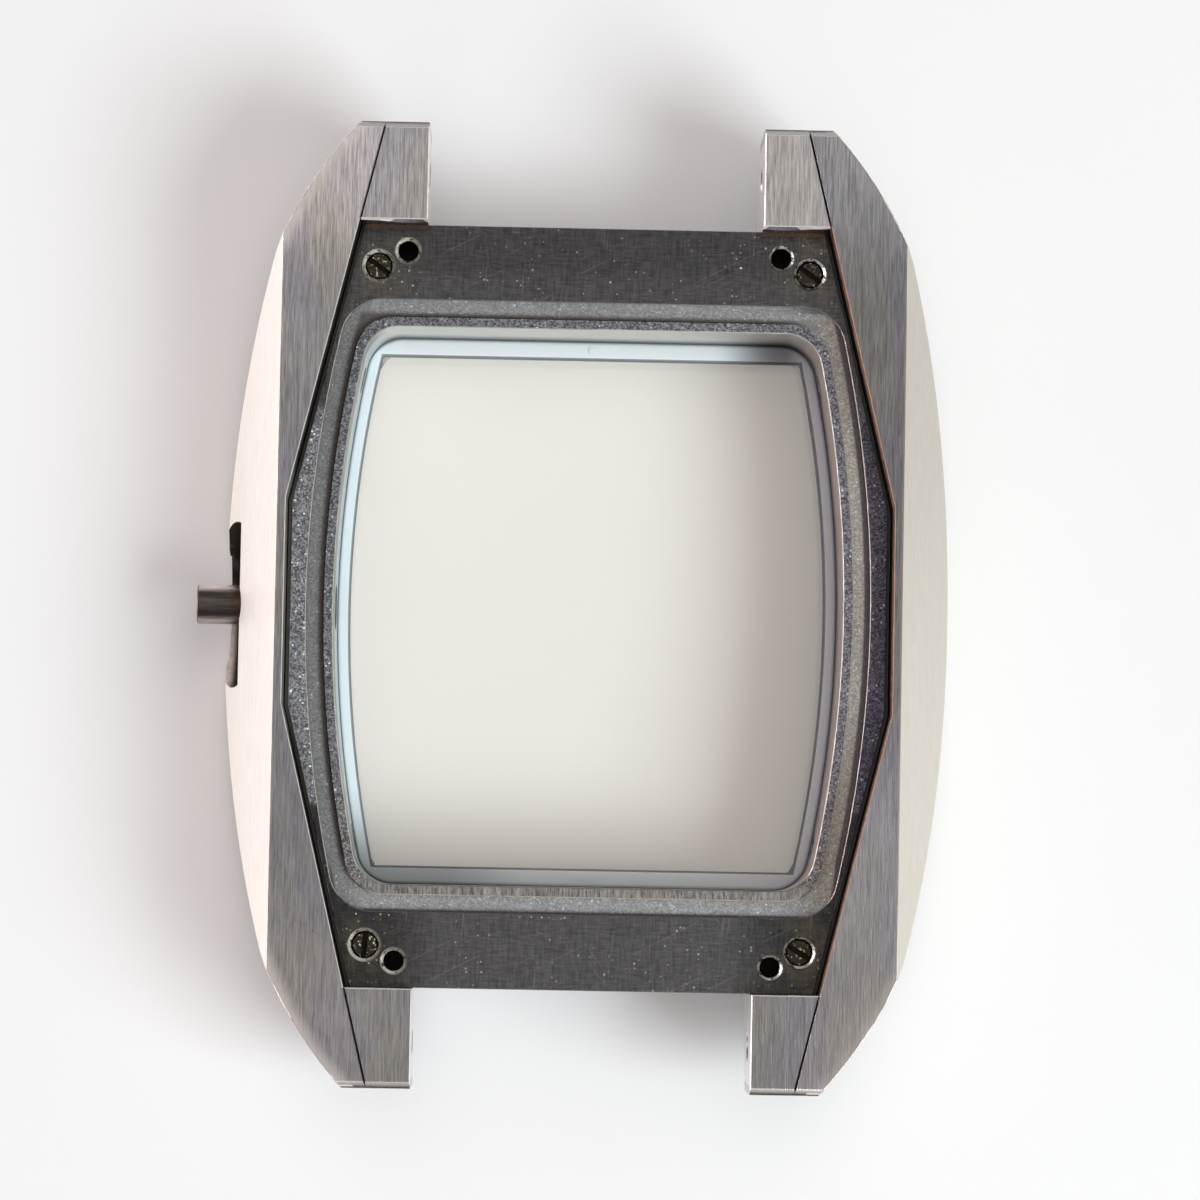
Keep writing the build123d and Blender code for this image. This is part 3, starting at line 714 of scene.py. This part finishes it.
def rim_colour(tree, at, area, knee):
    """Colour of the dark blasted rim and of the ledge's knees beside the opening, with painted light on the
    left knee and painted shade on the right one; relief and sparks.
    """
    colour, grain, sparks = blasted(tree, at.place, rim_tones, rim_spark_share)
    # Painted light on the left knee, painted shade on the right one
    right_knee = product(tree, at.right, knee)
    left_knee = product(tree, inverse(tree, at.right), knee)
    with_left = blend_value(tree, left_knee, rim_shade, left_knee_shade)
    colour = shade(tree, colour, blend_value(tree, right_knee, with_left, right_knee_shade))
    colour = blend(tree, right_knee, colour, tinted(tree, colour, right_knee_tint))
    colour = blend(tree, left_knee, colour, tinted(tree, colour, left_knee_tint))
    low_rim = product(tree, area.rim, rise(tree, at.down, 5, 15))
    colour = blend(tree, low_rim, colour, tinted(tree, colour, low_rim_tint))
    marks = contrast(tree, noise(tree, stretched(tree, at.place, 9.5, 1.6, 1), 1, 3, 0.65), 3.4)
    bottom = product(tree, area.rim, rise(tree, at.down, opening_half_height - 0.4, opening_half_height))
    return blend(tree, bottom, colour, blend(tree, marks, *rim_mark_tones)), grain, sparks


def channel_colour(tree, at, margin, low, far_side):
    """Colour of the paler blasted channel, with painted light and shade by side; its sparks; the share of
    its painted shadow.
    """
    colour, _, sparks = blasted(tree, at.place, channel_tones, channel_spark_share)
    # Painted light and shade by side: darker on the left and towards the top, lighter and olive on the right
    right_side = rise(tree, at.x, *channel_side_x)
    left_side = rise(tree, negative(tree, at.x), *channel_side_x)
    ends = remap(tree, rise(tree, at.y, -8, 8), *channel_end_shades)
    with_left = blend_value(tree, left_side, ends, channel_left_shade)
    colour = shade(tree, colour, blend_value(tree, right_side, with_left, channel_right_shade))
    colour = blend(tree, right_side, colour, tinted(tree, colour, channel_olive))
    # Painted shadow along the inner edge on the left and top, the outer edge on the right and bottom
    by_inner = fall(tree, margin, 0.6, 0.92)
    by_outer = rise(tree, calc(tree, "SUBTRACT", margin, product(tree, low, 0.17)), 1.08, 1.22)
    channel_shadow = product(tree, blend_value(tree, far_side, by_inner, by_outer), 0.72)
    colour = blend(tree, channel_shadow, colour, blend(tree, far_side, *channel_shadow_tones))
    return colour, sparks, channel_shadow


def with_mouths(tree, at, area, colour):
    """Bright, partly dirty mouths of the holes in the ledge."""
    mouth = product(
        tree, area.holed, below(tree, at.up, 0.9), above(tree, at.z, mouth_foot_z),
        below(tree, at.z, ledge_z - 0.005), below(tree, at.far_x, mouth_reach))
    dirt = rise(tree, noise(tree, at.place, 3.4, 4, 0.7), 0.49, 0.6)
    bright = blend(tree, noise(tree, at.place, 1.3, 2), *mouth_tones)
    return blend(tree, mouth, colour, blend(tree, dirt, bright, mouth_dirt))


def with_fine_lines(tree, at, area, margin, far_side, colour):
    """Edge lines of rim, channel, lugs and ledge, pale painted highlights and dark painted shade lines, the
    bright mouths of the holes, and how dull the lines are.
    """
    # The noise called worn only makes the painted lines uneven
    worn = remap(tree, noise(tree, at.place, 1.5, 3), 0.3, 1.1)
    on_rim = product(
        tree, at.edge, area.middle, below(tree, at.z, rim_z + line_play), above(tree, at.z, rim_z - 0.1))
    by_opening = below(tree, margin, 0.3)
    low_fade = inverse(tree, product(tree, rise(tree, at.down, 13.8, 14.8), 0.8))
    # Pale painted highlight along the rim's inner edge
    in_line = product(tree, on_rim, by_opening, low_fade)
    high_tone = blend_value(tree, at.right, 0.75, 1.05)
    in_line_shade = product(tree, worn, remap(tree, rise(tree, at.y, -6, 10), 1.0, high_tone))
    colour = blend(tree, in_line, colour, shade(tree, in_line_tone, in_line_shade))
    # Painted line on the rim's outer edge: dark on the left and top, brownish pale on the right and bottom
    rim_line = product(tree, on_rim, inverse(tree, by_opening))
    colour = blend(tree, rim_line, colour, shade(tree, blend(tree, far_side, *rim_line_tones), worn))
    # Pale painted highlight along the channel's outer edge
    channel_line = product(
        tree, at.edge, area.middle, above(tree, at.z, rim_z + line_play), area.sunk,
        above(tree, margin, 1.2), below(tree, margin, 1.75), rise(tree, at.far_x, 12.2, 13.6))
    colour = blend(tree, channel_line, colour, shade(tree, blend(tree, at.right, *channel_line_tones), worn))
    colour = with_mouths(tree, at, area, colour)
    # Pale painted highlight along the lugs' inner edges
    lug_line = product(tree, at.edge, area.inward, above(tree, at.z, ledge_z + 1.0))
    colour = blend(tree, lug_line, colour, lug_line_tone)
    # Painted line along the ledge's edge: a pale highlight on the left, dark shade on the right
    ledge_line = product(
        tree, at.edge, above(tree, at.z, ledge_z - 0.05), area.sunk, above(tree, margin, 1.8),
        below(tree, at.far_y, end_face_y - 0.1))
    colour = blend(tree, ledge_line, colour, shade(tree, blend(tree, at.right, *ledge_line_tones), worn))
    # Painted shade line on the back's edge beside the joint
    shut = product(tree, at.edge, above(tree, at.z, back_z - 0.2), above(tree, area.across, 3.0))
    colour = blend(tree, shut, colour, shut_edge_tone)
    pale_lines = greatest(tree, in_line, channel_line, ledge_line, lug_line)
    return colour, greatest(tree, product(tree, pale_lines, 0.6), product(tree, rim_line, far_side))


def case_body_steel(tree):
    """Brushed lugs, machined ledge, bead-blasted channel and rim, turned wall, black joints and holes;
    painted light, shade, glints and edge lines on many of them.
    """
    at = here(tree)
    area = body_areas(tree, at)
    margin = opening_margin(tree, at)
    low = rise(tree, at.down, *channel_low_y)
    far_side = greatest(tree, rise(tree, at.x, *channel_far_x), low)
    ragged = total(tree, at.far_y, remap(tree, noise(tree, at.place, 0.9, 3), -1.0, 1.0))
    knee = product(tree, area.ledge, fall(tree, ragged, blasted_reach - 0.5, blasted_reach + 0.5))
    dark_area = greatest(tree, area.rim, knee)
    blasted_area = greatest(tree, area.channel, dark_area)

    colour, lines = body_plain(tree, at, area)
    colour = blend(tree, area.inside, colour, wall_colour(tree, at))
    ledge, weave, dust = ledge_colour(tree, at)
    colour = blend(tree, area.ledge, colour, ledge)
    dark, dark_grain, dark_sparks = rim_colour(tree, at, area, knee)
    colour = blend(tree, dark_area, colour, dark)
    channel, channel_sparks, channel_shadow = channel_colour(tree, at, margin, low, far_side)
    colour = blend(tree, area.channel, colour, channel)
    colour, dull_lines = with_fine_lines(tree, at, area, margin, far_side, colour)
    colour = with_lug_end(tree, at, colour)

    rough = blend_value(tree, area.inside, remap(tree, lines, *brushed_rough), 0.3)
    rough = blend_value(tree, area.ledge, rough, remap(tree, weave, 0.32, 0.24))
    rough = blend_value(tree, blasted_area, rough, 0.75)
    # Painted glints of the blasted grains, and the ledge's real dust
    glints_and_dust = greatest(
        tree, product(tree, dark_area, dark_sparks),
        product(tree, area.channel, channel_sparks, inverse(tree, channel_shadow)), product(tree, area.ledge, dust))
    dull_share = greatest(tree, glints_and_dust, dull_lines, area.gap_floor)
    relief = blend_value(tree, blasted_area, product(tree, lines, 0.4), dark_grain)
    return {
        "Base Color": colour, "Metallic": inverse(tree, dull_share), "Roughness": rough,
        "Normal": bumped(tree, relief, body_relief),
    }


def bezel_steel(tree):
    """Plain brushed front frame."""
    colour, lines = brushed(tree, place_in_mm(tree), 1.5)
    return {"Base Color": colour, "Metallic": 1.0, "Roughness": remap(tree, lines, 0.36, 0.26)}


def turned_steel(tree):
    """Dull steel tube with lengthwise streaks, painted lighter towards +y and darker towards -y, a painted
    dark reflection along its crest, a rusty root and a darker end.
    """
    place = place_in_mm(tree)
    x, y, _ = split(tree, place)
    up = facing(tree)[2]
    streaks = contrast(tree, noise(tree, stretched(tree, place, 0.5, 7, 7), 1, 4, 0.65), 3.0)
    colour = blend(tree, streaks, *tube_tones)
    # Painted light and shade across the tube, lighter towards +y
    colour = shade(tree, colour, remap(tree, rise(tree, y, -1, 1), 0.7, 1.45))
    # Painted dark reflection along the crest
    colour = shade(tree, colour, remap(tree, rise(tree, up, 0.55, 0.85), 1.0, tube_crest_shade))
    rusty = rise(tree, noise(tree, place, 2, 3), 0.3, 0.6)
    root = product(
        tree, rise(tree, x, -recess_floor_x - 0.7, -recess_floor_x), rusty,
        fall(tree, x, 0.3 - recess_floor_x, 0.7 - recess_floor_x))
    colour = blend(tree, root, colour, tube_root_tone)
    colour = blend(tree, below(tree, x, tube_lip - tube_end_x), colour, tube_end_tone)
    return {
        "Base Color": colour, "Metallic": 1.0, "Roughness": remap(tree, streaks, 0.4, 0.28),
        "Normal": bumped(tree, streaks, tube_relief),
    }


def screw_steel(tree):
    """Brown-black oxidised head with small worn spots, its slot and upright faces painted black as shade, on
    a plainer shank.
    """
    place = place_in_mm(tree)
    z, up = split(tree, place)[2], facing(tree)[2]
    wear = rise(tree, noise(tree, place, 5.0, 4, 0.7), 0.56, 0.64)
    colour = blend(tree, noise(tree, place, 2.0, 2), *screw_tones)
    colour = blend(tree, wear, colour, screw_wear_tone)
    slot = product(tree, below(tree, z, slot_top_z), above(tree, z, slot_floor_z))
    # Slot and upright faces painted black as shade
    colour = blend(tree, greatest(tree, slot, below(tree, up, 0.3)), colour, slot_tone)
    shank = fall(tree, z, head_foot_z, head_foot_z + 0.1)
    colour = blend(tree, shank, colour, blend(tree, noise(tree, place, 3.0, 3), *shank_tones))
    return {
        "Base Color": colour, "Metallic": 1.0, "Roughness": remap(tree, wear, 0.42, 0.3),
        "Normal": bumped(tree, wear, screw_relief),
    }


def pin_steel(tree):
    """Ground steel with fine rings."""
    rings = noise(tree, stretched(tree, place_in_mm(tree), 9, 0.5, 0.5), 1, 3)
    rough = remap(tree, rings, 0.3, 0.2)
    return {"Base Color": blend(tree, rings, *pin_tones), "Metallic": 1.0, "Roughness": rough}


def black_rubber(tree):
    """Matt black rubber with a dusty bloom."""
    bloom = noise(tree, place_in_mm(tree), 2.0, 4)
    return {"Base Color": blend(tree, bloom, *rubber_tones), "Roughness": remap(tree, bloom, 0.6, 0.8)}


def ring_light_and_shade(tree, at):
    """Painted light and shade along the milky ring: darker at the lower left and in the upper right corner,
    a little lighter on the right.
    """
    to_left = negative(tree, at.x)
    corner = product(tree, rise(tree, at.x, 6.5, 10), rise(tree, at.y, 13, 14.2))
    top = remap(tree, corner, 1.06, 0.4)
    bottom = remap(tree, rise(tree, to_left, 2, 8), 1.04, 0.62)
    left = remap(tree, rise(tree, at.down, 9.5, 13.8), 0.93, 0.6)
    right = remap(tree, rise(tree, at.down, 0, 13), 1.05, 1.1)
    ends = blend_value(tree, rise(tree, at.y, -2, 2), bottom, top)
    ends = blend_value(tree, rise(tree, to_left, *ring_side_x), ends, left)
    return blend_value(tree, rise(tree, at.x, *ring_side_x), ends, right)


def milky_gasket(tree):
    """Pale, slightly bluish plastic bead, bluer on the right as its shaded tint, with painted shade towards
    its edges, painted light and shade along its way, and a painted shade line along its inner edge.
    """
    at = where(tree)
    cloud = noise(tree, at.place, 0.35, 3)
    crest = rise(tree, facing(tree)[2], 0.2, 0.95)
    colour = blend(tree, cloud, blend(tree, rise(tree, at.x, 6, 12), *ring_tones), ring_cloud_tone)
    # Painted shade towards the bead's edges
    colour = shade(tree, colour, remap(tree, crest, 0.5, 1.08))
    # Painted light and shade along the ring
    colour = shade(tree, colour, ring_light_and_shade(tree, at))
    from_inside = greatest(
        tree, total(tree, side_margin(tree, at), ring_width_side),
        calc(tree, "SUBTRACT", at.far_y, opening_half_height - ring_width_end))
    # Painted shade line along the ring's inner edge
    colour = shade(tree, colour, remap(tree, below(tree, from_inside, ring_dark_line), 1.0, ring_line_shade))
    return {
        "Base Color": colour, "Roughness": remap(tree, cloud, 0.42, 0.34), "IOR": 1.45,
        "Subsurface Weight": 0.25, "Subsurface Scale": 0.3 * mm,
        "Normal": bumped(tree, noise(tree, at.place, 3.0, 2), brush_relief),
    }


def crystal_glass():
    """Clear, faintly yellowish glass that lets the light through to what is behind it."""
    material = bpy.data.materials.new("crystal_glass_finish")
    material.use_nodes = True
    tree = material.node_tree
    tree.nodes.clear()
    smudge = noise(tree, place_in_mm(tree), 0.3, 4, 0.6)
    glass = new_node(tree, "ShaderNodeBsdfPrincipled", {
        "Base Color": glass_tone, "Roughness": remap(tree, smudge, 0.0, 0.02),
        "Transmission Weight": 1.0, "IOR": 1.5,
    })
    clear = new_node(tree, "ShaderNodeBsdfTransparent", {"Color": glass_shadow_tone})
    path = new_node(tree, "ShaderNodeLightPath")
    unseen = greatest(tree, path.outputs["Is Shadow Ray"], path.outputs["Is Diffuse Ray"])
    mixed = new_node(tree, "ShaderNodeMixShader", {0: unseen, 1: glass.outputs[0], 2: clear.outputs[0]})
    new_node(tree, "ShaderNodeOutputMaterial", {"Surface": mixed.outputs[0]})
    return material


def dress(material, *names):
    """Gives these nodes the material."""
    for name in names:
        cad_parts[name].material_slots[0].material = material


def dress_case():
    """Every finish on its pieces."""
    screws = [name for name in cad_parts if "_screw_" in name]
    pins = [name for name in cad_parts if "_pin_" in name]
    dress(surface("body_finish", case_body_steel), "case_body")
    dress(surface("flank_finish", flank_steel), "crown_side_flank", "plain_side_flank")
    dress(surface("bezel_finish", bezel_steel), "bezel")
    dress(surface("tube_finish", turned_steel), "crown_tube")
    dress(surface("screw_finish", screw_steel), *screws)
    dress(surface("pin_finish", pin_steel), *pins)
    dress(surface("seal_finish", black_rubber), "bezel_gasket", "crown_tube_seal")
    dress(surface("gasket_finish", milky_gasket), "crystal_gasket")
    dress(crystal_glass(), "crystal")


def floor_paper(tree):
    """Matt pale paper, whose shadows are lifted a little where it is seen directly or in metal and glass."""
    path = new_node(tree, "ShaderNodeLightPath")
    rays = [path.outputs[name] for name in ("Is Camera Ray", "Is Glossy Ray", "Is Transmission Ray")]
    lift = product(tree, greatest(tree, *rays), floor_lift)
    return {
        "Base Color": shade(tree, floor_colour, inverse(tree, lift)), "Roughness": 1.0,
        "Specular IOR Level": 0.0, "Emission Color": floor_glow, "Emission Strength": lift,
    }


def make_floor():
    """Plain pale floor just under the crystal."""
    bpy.ops.mesh.primitive_plane_add(size=floor_side, location=(0, 0, -floor_drop))
    floor = bpy.context.active_object
    floor.name = "floor"
    floor.data.materials.append(surface("floor_finish", floor_paper))


def make_lamp(name, azimuth, elevation, distance, width, height, power, colour):
    """Softbox that faces the case."""
    data = bpy.data.lights.new(name, "AREA")
    data.shape = "RECTANGLE"
    data.size = width
    data.size_y = height
    data.energy = power
    data.color = colour
    lamp = bpy.data.objects.new(name, data)
    bpy.context.scene.collection.objects.link(lamp)
    flat = distance * cos(elevation)
    lamp.location = (flat * cos(azimuth), flat * sin(azimuth), distance * sin(elevation))
    lamp.rotation_euler = (-lamp.location).to_track_quat("-Z", "Y").to_euler()


def make_tent():
    """World like the inside of a light tent: bright at the sides, dim overhead, lighter at the far top."""
    world = bpy.data.worlds.new("tent")
    bpy.context.scene.world = world
    world.use_nodes = True
    tree = world.node_tree
    tree.nodes.clear()
    dx, dy, height = split(tree, new_node(tree, "ShaderNodeTexCoord").outputs["Generated"])
    low = blend(tree, rise(tree, dx, -0.4, 0.4), *tent_low)
    top = blend(tree, rise(tree, dy, -0.08, 0.3), *tent_top)
    high = blend(tree, rise(tree, height, 0.75, 0.97), tent_middle, top)
    colour = blend(tree, rise(tree, height, 0.4, 0.7), low, high)
    sky = new_node(tree, "ShaderNodeBackground", {"Color": colour, "Strength": 1.0})
    new_node(tree, "ShaderNodeOutputWorld", {"Surface": sky.outputs[0]})


def make_camera():
    """Camera at the photograph's viewing angle."""
    turn = (
        Matrix.Rotation(camera_turn, 3, "Z")
        @ Matrix.Rotation(camera_pitch, 3, "X")
        @ Matrix.Rotation(camera_roll, 3, "Y")
    ).transposed()
    seat = turn @ Vector((-camera_shift_x, -camera_shift_y, camera_height)) + Vector((0, 0, back_z))
    data = bpy.data.cameras.new("camera")
    data.sensor_width = sensor_width
    data.lens = sensor_width * pixels_per_mm * camera_height / picture_side
    data.clip_start = clip_start
    camera = bpy.data.objects.new("camera", data)
    bpy.context.scene.collection.objects.link(camera)
    camera.matrix_world = Matrix.Translation(seat * mm) @ turn.to_4x4()
    bpy.context.scene.camera = camera


bpy.ops.object.select_all(action="DESELECT")
bpy.context.scene.view_settings.view_transform = "Standard"
make_camera()
make_tent()
make_lamp("key", key_azimuth, key_elevation, key_distance, key_size, key_size, key_power, key_tint)
make_lamp(
    "left", left_azimuth, left_elevation, left_distance, left_width, left_height, left_power, left_tint)
make_floor()
dress_case()
